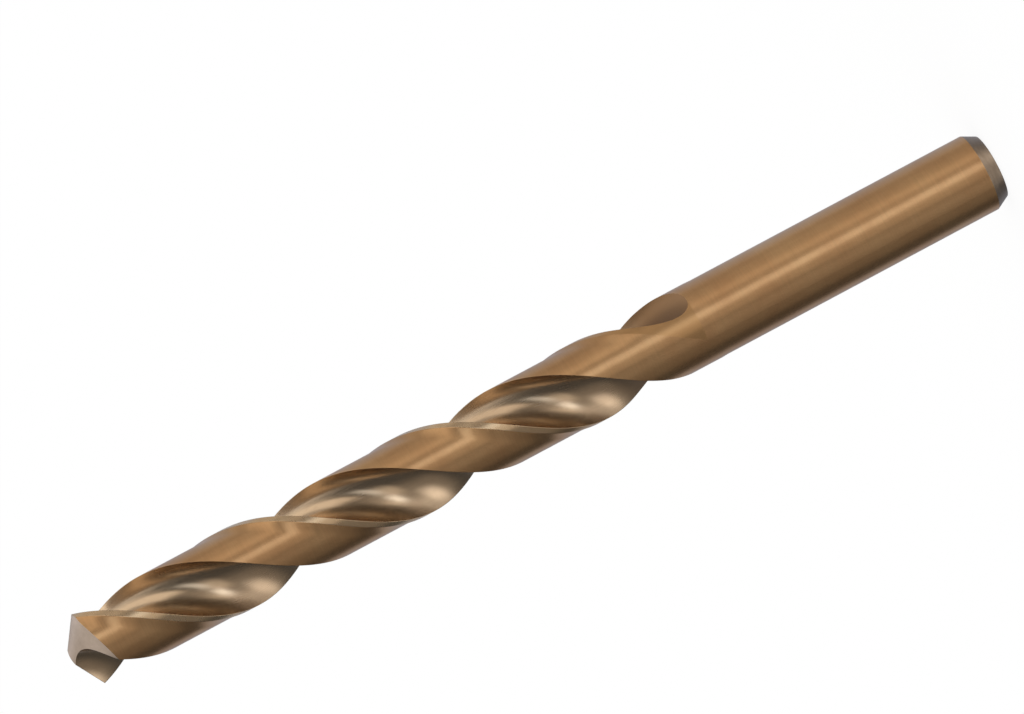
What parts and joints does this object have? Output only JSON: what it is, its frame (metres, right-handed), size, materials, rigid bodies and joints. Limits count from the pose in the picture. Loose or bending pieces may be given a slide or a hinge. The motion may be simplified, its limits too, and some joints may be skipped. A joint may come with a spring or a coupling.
{
  "type": "twist drill bit",
  "caption": "Jobber-length twist drill for metal: plain cylindrical shank with a chamfered end, two helical flutes with narrow margins, and a conical ground point with a chisel edge.",
  "frame": {"origin": "centre of the shank's flat end face, on the drill's axis", "axes": "+Z along the drill's axis from the shank's end to the point; one cutting lip's outer corner lies over +X"},
  "size_m": [0.012, 0.012, 0.151],
  "materials": {
    "drill_steel": "ground and polished cobalt high-speed steel with a straw-gold temper colour, bare grey on the ground point"
  },
  "bodies": {
    "root": {"twist_drill": "drill_steel"}
  },
  "joints": []
}
